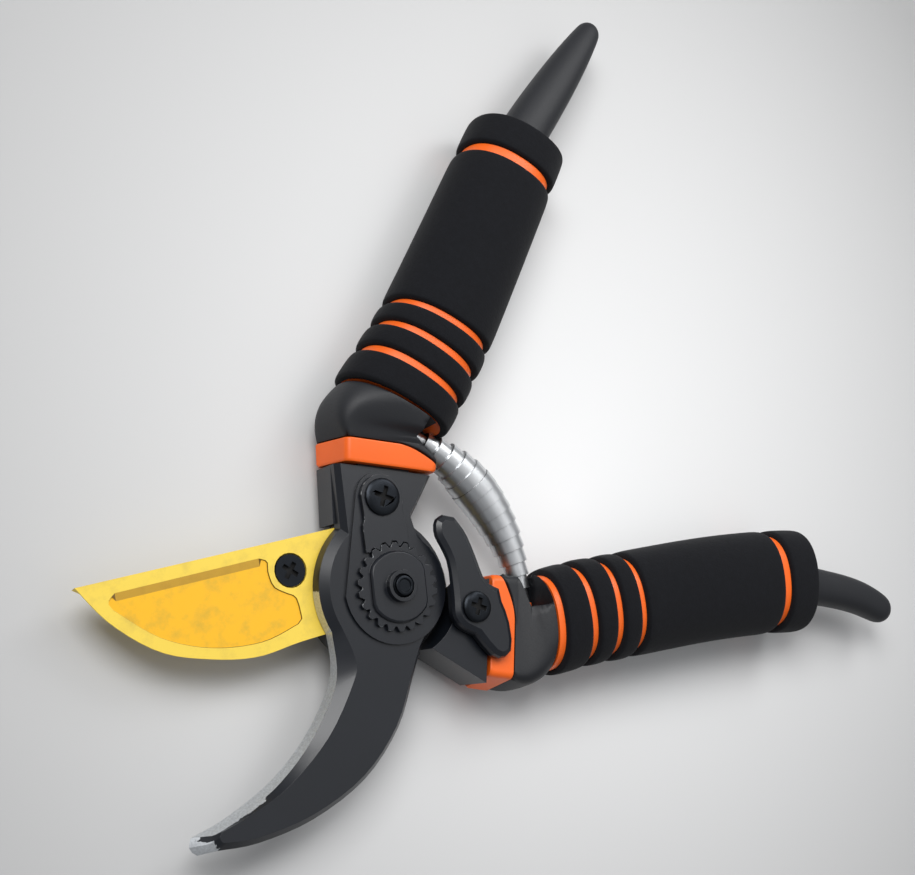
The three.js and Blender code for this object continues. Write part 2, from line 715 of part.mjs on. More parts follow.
// A round plug along the spring's line at one end, from inside the handle outwards
function seatPocket(degrees, radius, depth, out, flare = 0) {
  const outwards = degrees > 0 ? 1 : -1;
  const toDegrees = 180 / Math.PI / SPRING.bend;
  return skin([-depth, 0, out].map((distance) =>
    springRing(degrees - distance * outwards * toDegrees,
      radius + Math.max(0, distance) * flare)));
}

// The slot over the spring's end, open to the front and wider towards the spring
function seatNotch({ degrees, radius, spread }) {
  const open = degrees - Math.sign(degrees) * SEAT.notch;
  const near = radius + GAP;
  const far = near + spread;
  const corners = [[near, degrees], [far, open], [-far, open], [-near, degrees]];
  return slab(corners.map(([aside, angle]) =>
    polar(SPRING.bend + aside, angle, SPRING.x, SPRING.y)), CUT, CUT + 20);
}

function seatCup({ degrees, radius }) {
  return cut(
    seatPocket(degrees, radius, SEAT.depth, SEAT.rim),
    seatPocket(degrees, radius - SEAT.wall, SEAT.depth - 1, SEAT.rim + 2),
  );
}

function handle(side, shape) {
  const line = centreLine(shape);
  const [from, to] = shape.collar;
  const along = polar(1, shape.tilt);
  const station = (distance) =>
    [shape.start.x + along.x * distance, shape.start.y + along.y * distance, shape.tilt];
  const socket = tang(shape.start, shape.tilt, GAP);
  const { degrees, radius } = shape.seat;
  const pocket = seatPocket(degrees, radius + GAP, SEAT.depth + GAP, 12, 0.2);
  const notch = seatNotch(shape.seat);
  const outer = Math.sign(shape.tilt);
  const slope = outer * COLLAR.slope;

  // Where the knee laps over the collar's inner end: the lap's curved edge, moved by a clearance
  const lap = (clearance) => {
    const edge = COLLAR.lap.map(([back, across]) =>
      [to - back - clearance, -outer * (across - clearance)]);
    const outline = [...smooth(edge, 10), at(to + 1, -outer * 16), at(to + 1, edge[0][1])];
    const placed = outline.map((p) =>
      p.rotateAround(at(0, 0), radians(shape.tilt)).add(shape.start));
    return slab(placed, CUT - 20, CUT + 20);
  };

  const collarBox = (distance, less) => boxSection(...station(distance), COLLAR.halfWidth - less,
    COLLAR.top - less, COLLAR.bottom + less, COLLAR.corner, slope);
  const band = (end) => skin([
    collarBox(from, 0.7),
    collarBox(from + 0.7, 0.3),
    collarBox(end - 0.4, 0),
    collarBox(end, 0.2),
  ]);
  add(`${side}_collar`, cut(band(to), socket, pocket, notch, lap(GAP)), FINISH.orange);

  // The knee grows from the collar's box into the grip's oval
  const shoulder = [{ top: 7.8, bottom: -8.4, round: 3.6 }, { top: 10.2, bottom: -9.8, round: 7 }];
  const knee = skin([
    collarBox(to + GAP, 0.2),
    ...shape.knee.map(([x, y, turn, halfWidth], i) => boxSection(
      x, y, turn, halfWidth, shoulder[i].top, shoulder[i].bottom, shoulder[i].round, slope * 0.5)),
    ring(line, shape.lip - 0.6, 0.94),
    ring(line, shape.lip, 0.88),
    coreRing(line, shape.lip + 0.1, 0),
    ...[20, 45, 70, 93].map((distance) => coreRing(line, distance, 0)),
    ...shape.tail.map(([x, y, turn, half]) => section(x, y, turn, half, half * 0.9, -half * 0.9, 2.2)),
    ...tailTip(shape.tail.at(-1)),
  ]);
  const body = join(knee, common(band(to + 1), lap(0)));
  add(`${side}_handle`, cut(body, socket, pocket, notch), FINISH.vinyl);

  add(`${side}_inner_sleeve`, innerSleeve(line, shape.lip), FINISH.orange);
  FOAM.forEach(([name, start, end]) => {
    add(`${side}_${name}`, foamTube(line, start, end), FINISH.foam);
  });
  add(`${side}_spring_seat`, seatCup(shape.seat), FINISH.orange);
}

// The blunt round end of a tail, in four ever smaller rings
function tailTip([x, y, turn, half]) {
  const along = polar(1, turn);
  return [25, 48, 68, 84].map((degrees) => {
    const reach = half * 1.05 * Math.sin(radians(degrees));
    const size = half * Math.cos(radians(degrees));
    return section(x + along.x * reach, y + along.y * reach, turn, size, size * 0.9, -size * 0.9, 2);
  });
}

Object.entries(HANDLES).forEach(([side, shape]) => handle(side, shape));

// A strip wound into steps that get wider from each end to the peak
function returnSpring() {
  const span = SPRING.to - SPRING.from;
  const rings = [];
  for (let i = 0; i < SPRING.steps; i++) {
    const share = i / (SPRING.steps - 1);
    const [end, reach] = share < COIL.peak
      ? [COIL.lowerEnd, COIL.peak] : [COIL.upperEnd, 1 - COIL.peak];
    const away = Math.abs(share - COIL.peak) / reach;
    const radius = COIL.widest - (COIL.widest - end) * away ** COIL.power;
    const near = SPRING.from + (span * i) / SPRING.steps;
    const far = near + span / SPRING.steps;
    rings.push(springRing(near, radius), springRing(far, radius));
  }
  return skin(rings);
}
add('return_spring', returnSpring(), FINISH.bright);

export default shears;
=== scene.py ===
"""Bypass pruning shears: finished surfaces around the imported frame, in metres."""

from contextlib import contextmanager
from math import radians

import bpy
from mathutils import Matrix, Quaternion, Vector


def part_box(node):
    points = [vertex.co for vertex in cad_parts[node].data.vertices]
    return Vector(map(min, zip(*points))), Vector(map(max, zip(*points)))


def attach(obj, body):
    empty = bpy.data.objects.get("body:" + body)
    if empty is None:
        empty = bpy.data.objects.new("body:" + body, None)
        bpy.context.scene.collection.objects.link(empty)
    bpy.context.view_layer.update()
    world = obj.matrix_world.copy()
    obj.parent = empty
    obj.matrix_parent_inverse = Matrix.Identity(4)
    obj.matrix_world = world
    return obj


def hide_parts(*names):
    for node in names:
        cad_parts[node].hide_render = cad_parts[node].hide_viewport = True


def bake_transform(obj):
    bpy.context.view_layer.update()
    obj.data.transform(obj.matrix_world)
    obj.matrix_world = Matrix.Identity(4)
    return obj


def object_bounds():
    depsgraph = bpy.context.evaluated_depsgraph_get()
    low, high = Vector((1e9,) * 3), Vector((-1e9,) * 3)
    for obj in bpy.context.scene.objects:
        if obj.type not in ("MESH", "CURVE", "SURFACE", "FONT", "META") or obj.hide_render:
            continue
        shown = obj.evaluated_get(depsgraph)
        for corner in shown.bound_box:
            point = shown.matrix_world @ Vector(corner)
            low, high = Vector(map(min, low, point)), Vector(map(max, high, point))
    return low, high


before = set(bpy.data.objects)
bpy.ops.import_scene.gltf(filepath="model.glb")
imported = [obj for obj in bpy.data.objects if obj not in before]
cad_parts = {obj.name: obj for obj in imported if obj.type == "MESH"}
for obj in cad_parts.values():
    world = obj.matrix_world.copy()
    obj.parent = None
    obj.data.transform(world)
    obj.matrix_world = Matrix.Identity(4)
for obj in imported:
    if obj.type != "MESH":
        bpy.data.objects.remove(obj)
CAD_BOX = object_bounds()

bl_info = {
    "name": "Pruning Shears",
    "version": (1, 0, 0),
    "blender": (4, 5, 0),
    "location": "View3D > Sidebar > Shears",
    "description": "Finishes a pair of bypass pruning shears, piece by piece",
    "category": "Object",
}

MM = 0.001
SIDES = ("upper", "lower")
BODY = {"upper": "hook_side", "lower": "blade_side"}
FOAM = ("grip_ring_1", "grip_ring_2", "grip_ring_3", "grip_sleeve", "grip_end_ring")

# Places that the details are set out from, read from the frame
BLADE_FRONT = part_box("cutting_blade")[1].z
HOOK_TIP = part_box("hook_arm")[0].x
TOOL_UNDERSIDE = CAD_BOX[0].z


def linear(hex_colour):
    """The linear colour of an sRGB hex value."""
    channels = [int(hex_colour[i:i + 2], 16) / 255 for i in (1, 3, 5)]
    return tuple(c / 12.92 if c <= 0.04045 else ((c + 0.055) / 1.055) ** 2.4 for c in channels)


# ---------------------------------------------------------------- settings

def swatch(name, hex_colour, about):
    """A colour that a user may change."""
    return bpy.props.FloatVectorProperty(
        name=name, description=about, subtype="COLOR", size=3, min=0, max=1,
        default=linear(hex_colour))


def length(name, millimetres, about):
    """A length that a user may change."""
    return bpy.props.FloatProperty(
        name=name, description=about, unit="LENGTH", default=millimetres * MM, min=0, precision=5)


class ShearsColours(bpy.types.PropertyGroup):
    """Colours of the finishes."""
    paint: swatch("Paint", "#0F1218", "Satin charcoal paint on the forged arms")
    steel: swatch("Ground steel", "#DADEE2", "Bare steel along the jaw")
    border: swatch("Blade border", "#EBCB4A", "Thin coating round the blade's panel")
    panel: swatch("Blade panel", "#F0B40C", "Thicker coating inside the panel")
    # Panel edge and Panel slope colour painted shade, in the panel's edge and on the slope along the
    # spine
    panel_edge_shade: swatch("Panel edge", "#6E5210", "Coating gathered in the panel's edge")
    slope: swatch("Panel slope", "#B98E1E", "Thick coating on the slope along the spine")
    oxide: swatch("Black oxide", "#191B1E", "Screws, bolt and washers")
    strip: swatch("Spring strip", "#D9DBDD", "Bright spring steel")
    vinyl: swatch("Dark vinyl", "#14161B", "Dipped knee and tail of each handle")
    orange: swatch("Orange vinyl", "#F06410", "Collars and the sleeves under the foam")
    foam: swatch("Foam", "#0B0C10", "Closed-cell foam of the grips")
    floor: swatch("Floor", "#EAEAEA", "Plain pale floor")


class ShearsSizes(bpy.types.PropertyGroup):
    """Sizes of the details that finish the pieces."""
    forging_edge: length("Forging edge", 0.35, "Rounding of the painted forgings' edges")
    machined_edge: length("Machined edge", 0.14, "Rounding of the blade, nut and lock plate")
    turned_edge: length("Turned edge", 0.06, "Rounding of the bolt, screws and washers")
    latch_edge: length("Latch edge", 0.5, "Rounding of the thumb latch")
    collar_edge: length("Collar edge", 0.45, "Rounding of the moulded collars")
    strip_edge: length("Strip edge", 0.06, "Rounding of the spring strip's edges")
    foam_swell: length("Foam swell", 0.2, "How far the foam bulges past its plain tube")


def colours():
    """The colours set in the panel."""
    return bpy.context.scene.shears_colours


def sizes():
    """The sizes set in the panel."""
    return bpy.context.scene.shears_sizes


# ---------------------------------------------------------------- materials

# Sockets of a colour Mix node
FACTOR, FIRST, SECOND, MIXED = 0, 6, 7, 2


def put(tree, kind, inputs, **settings):
    """Adds a node, sets its properties, and gives each input its value or its link."""
    made = tree.nodes.new(kind)
    for name, value in settings.items():
        setattr(made, name, value)
    for name, value in inputs.items():
        if isinstance(value, bpy.types.NodeSocket):
            tree.links.new(value, made.inputs[name])
        else:
            made.inputs[name].default_value = value
    return made


def per_metre(millimetres):
    """Texture scale whose features are this many millimetres across."""
    return 1 / (millimetres * MM)


def blank(name):
    """A new material with its tree, its shader, and the object's own coordinates."""
    material = bpy.data.materials.new(name)
    material.use_nodes = True
    tree = material.node_tree
    shader = tree.nodes["Principled BSDF"]
    place = put(tree, "ShaderNodeTexCoord", {}).outputs["Object"]
    return material, tree, shader, place


def opaque(colour):
    """A colour with full alpha."""
    return (*colour, 1.0)


def scaled(colour, share):
    """A darker or lighter version of a colour, opaque."""
    return opaque([c * share for c in colour])


def finish(name):
    """The material of that name, made the first time it is asked for."""
    return bpy.data.materials.get(name) or MAKERS[name]()


def satin_paint():
    """Stoved satin paint on a forging: even and dark, with a faint orange peel."""
    material, tree, shader, place = blank("satin_paint")
    paint = colours().paint
    peel = put(tree, "ShaderNodeTexNoise",
               {"Vector": place, "Scale": per_metre(0.9), "Detail": 2.0})
    cloud = put(tree, "ShaderNodeTexNoise",
                {"Vector": place, "Scale": per_metre(14), "Detail": 3.0})
    dust = put(tree, "ShaderNodeMix",
               {FACTOR: cloud.outputs["Fac"], FIRST: opaque(paint),
                SECOND: scaled(paint, 1.5)}, data_type="RGBA")
    # The wall along the jaw is ground bare after painting, so the paint ends in a ragged line
    bare = put(tree, "ShaderNodeAttribute", {}, attribute_name="bare")
    chips = put(tree, "ShaderNodeTexNoise",
                {"Vector": place, "Scale": per_metre(1.6), "Detail": 5.0, "Roughness": 0.7})
    ragged = put(tree, "ShaderNodeMath",
                 {0: bare.outputs["Fac"], 1: chips.outputs["Fac"]}, operation="ADD")
    worn = put(tree, "ShaderNodeMapRange",
               {"Value": ragged.outputs[0], "From Min": 0.98, "From Max": 1.06})
    # Grinding leaves the steel speckled, drawn coarser than its grit so that it shows
    speck = put(tree, "ShaderNodeTexNoise",
                {"Vector": place, "Scale": per_metre(0.45), "Detail": 4.0})
    ground = put(tree, "ShaderNodeMix",
                 {FACTOR: speck.outputs["Fac"], FIRST: scaled(colours().steel, 0.45),
                  SECOND: opaque(colours().steel)}, data_type="RGBA")
    surface = put(tree, "ShaderNodeMix",
                  {FACTOR: worn.outputs[0], FIRST: dust.outputs[MIXED],
                   SECOND: ground.outputs[MIXED]}, data_type="RGBA")
    polish = put(tree, "ShaderNodeMapRange",
                 {"Value": worn.outputs[0], "To Min": 0.33, "To Max": 0.42})
    sheen = put(tree, "ShaderNodeMapRange", {"Value": worn.outputs[0], "To Max": 0.6})
    bump = put(tree, "ShaderNodeBump",
               {"Height": peel.outputs["Fac"], "Strength": 0.12, "Distance": 0.05 * MM})
    tree.links.new(surface.outputs[MIXED], shader.inputs["Base Color"])
    tree.links.new(sheen.outputs[0], shader.inputs["Metallic"])
    tree.links.new(polish.outputs[0], shader.inputs["Roughness"])
    tree.links.new(bump.outputs[0], shader.inputs["Normal"])
    return material


def blade_coating(name, hue, worn):
    """Baked slippery coating on the blade: satin, slightly mottled where it is thicker."""
    material, tree, shader, place = blank(name)
    mottle = put(tree, "ShaderNodeTexNoise",
                 {"Vector": place, "Scale": per_metre(5), "Detail": 5.0, "Roughness": 0.65})
    patch = put(tree, "ShaderNodeMapRange",
                {"Value": mottle.outputs["Fac"], "From Min": 0.48, "From Max": 0.78})
    tone = put(tree, "ShaderNodeMix",
               {FACTOR: patch.outputs[0], FIRST: opaque(hue),
                SECOND: opaque(worn)}, data_type="RGBA")
    grain = put(tree, "ShaderNodeTexNoise",
                {"Vector": place, "Scale": per_metre(0.5), "Detail": 3.0})
    polish = put(tree, "ShaderNodeMapRange",
                 {"Value": mottle.outputs["Fac"], "To Min": 0.36, "To Max": 0.5})
    bump = put(tree, "ShaderNodeBump",
               {"Height": grain.outputs["Fac"], "Strength": 0.15, "Distance": 0.04 * MM})
    tree.links.new(tone.outputs[MIXED], shader.inputs["Base Color"])
    tree.links.new(polish.outputs[0], shader.inputs["Roughness"])
    tree.links.new(bump.outputs[0], shader.inputs["Normal"])
    return material


def coating_border():
    """The coating where it is thin, round the panel: pale yellow."""
    return blade_coating("coating_border", colours().border, linear("#D3B548"))


def coating_panel():
    """The coating pooled in the sunk panel: thicker, so a deeper yellow."""
    return blade_coating("coating_panel", colours().panel, linear("#C9A02A"))


def coating_edge_painted_shade():
    """Painted shade in the panel's corner: brown."""
    return blade_coating("coating_edge_painted_shade", colours().panel_edge_shade, linear("#5A430E"))


def coating_slope_painted_shade():
    """Painted shade on the slope along the spine: ochre."""
    return blade_coating("coating_slope_painted_shade", colours().slope, linear("#A98016"))


def metal(name, colour, roughness, streak, relief=0.1):
    """Bare or oxidised metal with fine streaks left by its last working."""
    material, tree, shader, place = blank(name)
    stretch = put(tree, "ShaderNodeMapping", {"Vector": place, "Scale": streak})
    lines = put(tree, "ShaderNodeTexNoise",
                {"Vector": stretch.outputs[0], "Scale": per_metre(1), "Detail": 4.0})
    tone = put(tree, "ShaderNodeMix",
               {FACTOR: lines.outputs["Fac"], FIRST: scaled(colour, 0.82),
                SECOND: opaque(colour)}, data_type="RGBA")
    polish = put(tree, "ShaderNodeMapRange",
                 {"Value": lines.outputs["Fac"], "To Min": roughness * 0.8,
                  "To Max": roughness * 1.25})
    bump = put(tree, "ShaderNodeBump",
               {"Height": lines.outputs["Fac"], "Strength": relief, "Distance": 0.02 * MM})
    shader.inputs["Metallic"].default_value = 1.0
    tree.links.new(tone.outputs[MIXED], shader.inputs["Base Color"])
    tree.links.new(polish.outputs[0], shader.inputs["Roughness"])
    tree.links.new(bump.outputs[0], shader.inputs["Normal"])
    return material


def black_oxide():
    """Steel blackened in hot salts: a thin dark skin that still shines like metal."""
    return metal("black_oxide", [c * 2.2 for c in colours().oxide], 0.36, (1.0, 1.0, 1.0))


def spring_strip():
    """Cold-rolled spring steel: bright, with fine lines along the strip."""
    return metal("spring_strip", colours().strip, 0.34, (0.15, 0.15, 1.5), relief=0.02)


def step_edge_painted_shade():
    """Painted shade on the steel of the spring's step edges: nearly black."""
    return metal("step_edge_painted_shade", linear("#1C1B1A"), 0.5, (1.0, 1.0, 1.0))


def recess_painted_shade():
    """Painted shade in a screw's recess: black and dead matt."""
    return moulded("recess_painted_shade", linear("#060607"), 0.85, 0.4, 0.05)


def zinc_plate():
    """Zinc-plated steel: grey, with a soft shine."""
    return metal("zinc_plate", linear("#A9ADB1"), 0.34, (1.0, 1.0, 3.0))


def sintered_bronze():
    """Bronze pressed from powder: brownish, and a little grainy."""
    return metal("sintered_bronze", linear("#A9814C"), 0.42, (2.0, 2.0, 2.0))


def moulded(name, colour, roughness, pebble, depth):
    """Soft moulded or dipped plastic: satin, with the fine pebble of its mould."""
    material, tree, shader, place = blank(name)
    skin = put(tree, "ShaderNodeTexNoise",
               {"Vector": place, "Scale": per_metre(pebble), "Detail": 3.0})
    cloud = put(tree, "ShaderNodeTexNoise",
                {"Vector": place, "Scale": per_metre(11), "Detail": 2.0})
    tone = put(tree, "ShaderNodeMix",
               {FACTOR: cloud.outputs["Fac"], FIRST: scaled(colour, 0.88),
                SECOND: opaque([min(1.0, c * 1.1) for c in colour])}, data_type="RGBA")
    polish = put(tree, "ShaderNodeMapRange",
                 {"Value": skin.outputs["Fac"], "To Min": roughness - 0.05,
                  "To Max": roughness + 0.08})
    bump = put(tree, "ShaderNodeBump",
               {"Height": skin.outputs["Fac"], "Strength": 0.25, "Distance": depth * MM})
    tree.links.new(tone.outputs[MIXED], shader.inputs["Base Color"])
    tree.links.new(polish.outputs[0], shader.inputs["Roughness"])
    tree.links.new(bump.outputs[0], shader.inputs["Normal"])
    return material


def dipped_vinyl():
    """Soft vinyl from a dip: charcoal, satin, with a shallow pebble."""
    return moulded("dipped_vinyl", colours().vinyl, 0.55, 0.45, 0.08)


def moulded_vinyl():
    """Injection-moulded vinyl: orange, and smoother than the dip."""
    return moulded("moulded_vinyl", colours().orange, 0.42, 0.6, 0.04)


def closed_cell_foam():
    """Closed-cell foam rubber: dead matt, with fine cells and a soft dusty sheen."""
    material, tree, shader, place = blank("closed_cell_foam")
    foam = colours().foam
    cells = put(tree, "ShaderNodeTexVoronoi", {"Vector": place, "Scale": per_metre(0.5)})
    lumps = put(tree, "ShaderNodeTexNoise",
                {"Vector": place, "Scale": per_metre(1.4), "Detail": 6.0, "Roughness": 0.7})
    tone = put(tree, "ShaderNodeMix",
               {FACTOR: lumps.outputs["Fac"], FIRST: scaled(foam, 0.6),
                SECOND: scaled(foam, 1.9)}, data_type="RGBA")
    fine = put(tree, "ShaderNodeBump",
               {"Height": cells.outputs["Distance"], "Strength": 0.35, "Distance": 0.1 * MM})
    broad = put(tree, "ShaderNodeBump",
                {"Height": lumps.outputs["Fac"], "Strength": 0.3, "Distance": 0.25 * MM,
                 "Normal": fine.outputs[0]})
    shader.inputs["Roughness"].default_value = 0.92
    shader.inputs["Specular IOR Level"].default_value = 0.22
    shader.inputs["Sheen Weight"].default_value = 0.04
    shader.inputs["Sheen Roughness"].default_value = 0.5
    tree.links.new(tone.outputs[MIXED], shader.inputs["Base Color"])
    tree.links.new(broad.outputs[0], shader.inputs["Normal"])
    return material


# The floor's painted pool of light is brightest at this point and darkens over this radius, both in
# millimetres
LIGHT_POOL_CENTRE, LIGHT_POOL_RADIUS = (59.4, -19.8, 0), 220


def floor_painted_light_pool():
    """Matt painted board with a painted pool of light: pale round the tool, and darker away from it.
    """
    material, tree, shader, place = blank("floor_painted_light_pool")
    centre = [-along / LIGHT_POOL_RADIUS for along in LIGHT_POOL_CENTRE]
    spread = put(tree, "ShaderNodeMapping",
                 {"Vector": place, "Location": centre, "Scale": [per_metre(LIGHT_POOL_RADIUS)] * 3})
    light_falloff = put(tree, "ShaderNodeTexGradient", {"Vector": spread.outputs[0]},
               gradient_type="SPHERICAL")
    # Painted light: the floor colour darkens to 0.4 of itself away from the tool
    tone = put(tree, "ShaderNodeMix",
               {FACTOR: light_falloff.outputs["Fac"], FIRST: scaled(colours().floor, 0.4),
                SECOND: opaque(colours().floor)}, data_type="RGBA")
    shader.inputs["Roughness"].default_value = 0.9
    tree.links.new(tone.outputs[MIXED], shader.inputs["Base Color"])
    return material


MAKERS = {maker.__name__: maker for maker in (
    satin_paint, coating_border, coating_panel, coating_edge_painted_shade, coating_slope_painted_shade, black_oxide,
    spring_strip, step_edge_painted_shade, recess_painted_shade, zinc_plate, sintered_bronze, dipped_vinyl,
    moulded_vinyl, closed_cell_foam, floor_painted_light_pool)}


# ---------------------------------------------------------------- working on a piece

# Points this close are one, faces this flat are one face, and a paired face may have any corners
MERGE_DISTANCE = 0.03 * MM
FLAT_WITHIN = radians(0.05)
ANY_SHAPE = radians(120)


@contextmanager
def edit_mode():
    """Edit mode with the whole piece selected, and object mode again afterwards."""
    bpy.ops.object.mode_set(mode="EDIT")
    bpy.ops.mesh.select_all(action="SELECT")
    yield
    bpy.ops.object.mode_set(mode="OBJECT")


def copied(node, name):
    """A merged copy of a node's mesh, with nothing else selected, in object mode."""
    bpy.ops.object.select_all(action="DESELECT")
    piece = bpy.data.objects.new(name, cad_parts[node].data.copy())
    bpy.context.scene.collection.objects.link(piece)
    bpy.context.view_layer.objects.active = piece
    piece.select_set(True)
    with edit_mode():
        bpy.ops.mesh.remove_doubles(threshold=MERGE_DISTANCE)
    piece.data.materials.clear()
    return piece


def paired(bend):
    """Pairs triangles into four-sided faces wherever the two bend by less than this."""
    bpy.ops.mesh.select_all(action="SELECT")
    bpy.ops.mesh.tris_convert_to_quads(face_threshold=radians(bend), shape_threshold=ANY_SHAPE)


def flattened(piece):
    """Joins the triangles of every flat face, and pairs those that are left."""
    with edit_mode():
        bpy.ops.mesh.dissolve_limited(angle_limit=FLAT_WITHIN)
        paired(bend=25)
    return piece


def squared(piece):
    """Pairs the triangles of a lofted skin back into its four-sided faces."""
    with edit_mode():
        paired(bend=60)
    return piece


def creased(piece, angle, amount):
    """Creases the edges that are sharper than an angle."""
    with edit_mode():
        bpy.ops.mesh.select_mode(type="EDGE")
        bpy.ops.mesh.select_all(action="DESELECT")
        bpy.ops.mesh.edges_select_sharp(sharpness=radians(angle))
        bpy.ops.transform.edge_crease(value=amount)
    return piece


def modified(piece, kind, **settings):
    """Adds a modifier and applies it."""
    modifier = piece.modifiers.new(kind.title(), kind)
    for name, value in settings.items():
        setattr(modifier, name, value)
    bpy.ops.object.modifier_apply(modifier=modifier.name)
    return piece


def rounded(piece, width, segments=2, angle=18):
    """Rounds the edges that are sharper than an angle."""
    return modified(piece, "BEVEL", width=width, segments=segments, limit_method="ANGLE",
                    angle_limit=radians(angle), use_clamp_overlap=True)


def subdivided(piece, levels=2):
    """Smooths a piece into finer faces."""
    return modified(piece, "SUBSURF", levels=levels, render_levels=levels)


def swollen(piece, distance):
    """Pushes the whole skin outwards."""
    with edit_mode():
        bpy.ops.transform.shrink_fatten(value=distance)
    return piece


def shaded(piece, angle):
    """Shades a piece smooth up to an angle, with its large faces kept flat."""
    bpy.ops.object.shade_smooth_by_angle(angle=radians(angle))
    return modified(piece, "WEIGHTED_NORMAL", keep_sharp=True, weight=80)


def done(piece, node, body, material, angle=35):
    """Shades a piece, gives it its finish, and puts it on its body in place of its node."""
    shaded(piece, angle)
    if not piece.data.materials:
        piece.data.materials.append(finish(material))
    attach(piece, body)
    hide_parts(node)
    return piece


# ---------------------------------------------------------------- hook and arms

# The hook is ground bare past JAW_START on the wall along the jaw, up to WALL_TOP, and past TIP_START
JAW_START = -14 * MM
TIP_START = HOOK_TIP + 3.6 * MM
WALL_TOP = BLADE_FRONT + 2.72 * MM

# Parts of a normal: across for a wall that looks towards the jaw, upwards for the others
TOWARDS_JAW, STEEP, NEARLY_LEVEL = 0.1, 0.62, 0.9

# How far the paint is gone
BARE_STEEL, BARE_AND_HIGHLIT_EDGE, WHOLE_PAINT = 0.8, 0.46, 0.0


def mark_bare(piece, bareness):
    """Stores, on each point, how far the paint is ground away there."""
    attribute = piece.data.attributes.new("bare", "FLOAT", "POINT")
    for vertex, value in zip(piece.data.vertices, attribute.data):
        value.value = bareness(vertex.co, vertex.normal)


def unworn(place, normal):
    """Paint that is whole everywhere."""
    return WHOLE_PAINT


def ground_jaw(place, normal):
    """Bare steel on the wall that faces the blade, and round the tip but not on its top."""
    on_wall = normal.y > TOWARDS_JAW and normal.z < STEEP and place.z < WALL_TOP
    along_jaw = place.x < JAW_START and on_wall
    at_tip = place.x < TIP_START and normal.z < NEARLY_LEVEL
    return BARE_STEEL if along_jaw or at_tip else WHOLE_PAINT


class SHEARS_OT_hook(bpy.types.Operator):
    """Hook arm: one painted forging, ground bare along the jaw and at its tip"""
    bl_idname = "shears.hook"
    bl_label = "Hook arm"

    def execute(self, context):
        piece = flattened(copied("hook_arm", "hook_forging"))
        rounded(piece, sizes().forging_edge, segments=3)
        mark_bare(piece, ground_jaw)
        done(piece, "hook_arm", "hook_side", "satin_paint", angle=26)
        return {"FINISHED"}


class SHEARS_OT_lower_arm(bpy.types.Operator):
    """Lower arm: painted forging behind the blade"""
    bl_idname = "shears.lower_arm"
    bl_label = "Lower arm"

    def execute(self, context):
        piece = flattened(copied("lower_arm", "lower_forging"))
        rounded(piece, sizes().forging_edge, segments=3)
        mark_bare(piece, unworn)
        done(piece, "lower_arm", "blade_side", "satin_paint")
        return {"FINISHED"}


# The sunk panel of the blade: its floor, and where it ends towards the pivot
PANEL_FLOOR = BLADE_FRONT - 0.3 * MM
PANEL_END = -17 * MM

# Its faces: how far they rise, from on edge to level, and the least area of the slope
ON_EDGE, SLOPING, LEVEL = 0.02, 0.85, 0.998
SLOPE_AREA = 8 * MM * MM
COATINGS = ("coating_border", "coating_panel", "coating_edge_painted_shade", "coating_slope_painted_shade")
BORDER, PANEL, EDGE_SHADE, SLOPE_SHADE = range(4)


def coating_of(face):
    """Which of the blade's coatings a face has, told by its height, tilt and size; the panel's edge
    and slope get painted shade.
    """
    place, rise = face.center, face.normal.z
    sunk = PANEL_FLOOR - 0.1 * MM < place.z < BLADE_FRONT - 0.01 * MM
    if not sunk or place.x >= PANEL_END or rise < ON_EDGE:
        return BORDER
    if rise > LEVEL:
        return PANEL if place.z < PANEL_FLOOR + 0.02 * MM else BORDER
    # Painted shade: the large slope faces get the ochre, and the other sloping faces of the panel's
    # edge get the brown
    return SLOPE_SHADE if rise > SLOPING and face.area > SLOPE_AREA else EDGE_SHADE


class SHEARS_OT_blade(bpy.types.Operator):
    """Cutting blade: coated plate with a sunk panel and a ground back"""
    bl_idname = "shears.blade"
    bl_label = "Cutting blade"

    def execute(self, context):
        piece = flattened(copied("cutting_blade", "coated_blade"))
        rounded(piece, sizes().machined_edge)
        for name in COATINGS:
            piece.data.materials.append(finish(name))
        for face in piece.data.polygons:
            face.material_index = coating_of(face)
        done(piece, "cutting_blade", "blade_side", "coating_border")
        return {"FINISHED"}


# ---------------------------------------------------------------- pivot and fasteners

# Each small turned or stamped piece: its body, its finish and its slot
HARDWARE = {
    "pivot_bolt": ("hook_side", "black_oxide", "blackened_steel"),
    "pivot_washer": ("hook_side", "zinc_plate", "zinc_steel"),
    "pivot_bushing": ("hook_side", "sintered_bronze", "bronze"),
    "lock_plate_screw": ("hook_side", "black_oxide", "blackened_steel"),
    "blade_screw": ("blade_side", "black_oxide", "blackened_steel"),
    "latch_screw": ("blade_side", "black_oxide", "blackened_steel"),
    "latch_washer": ("blade_side", "zinc_plate", "zinc_steel"),
}

# The cross recess: its reach as a share of the head's radius, and the depth where its painted shade
# starts
RECESS_REACH, SHADE_DEPTH = 0.58, 0.25 * MM


def mark_recess(piece, node, material):
    """Gives the cross recess in a screw's head its painted shade, a black matt finish."""
    for name in (material, "recess_painted_shade"):
        piece.data.materials.append(finish(name))
    low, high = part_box(node)
    axis = (low + high) / 2
    reach = RECESS_REACH * (high.x - axis.x)
    for face in piece.data.polygons:
        inside = (face.center.xy - axis.xy).length < reach
        # Painted shade: faces deep inside the recess are coloured black
        face.material_index = 1 if inside and face.center.z < high.z - SHADE_DEPTH else 0


class SHEARS_OT_hardware(bpy.types.Operator):
    """Bolt, washers, bushing and screws"""
    bl_idname = "shears.hardware"
    bl_label = "Fasteners"

    def execute(self, context):
        for node, (body, material, slot) in HARDWARE.items():
            piece = flattened(copied(node, "finished_" + node))
            rounded(piece, sizes().turned_edge, angle=40)
            if node.endswith("screw"):
                mark_recess(piece, node, material)
            done(piece, node, body, material)
        return {"FINISHED"}


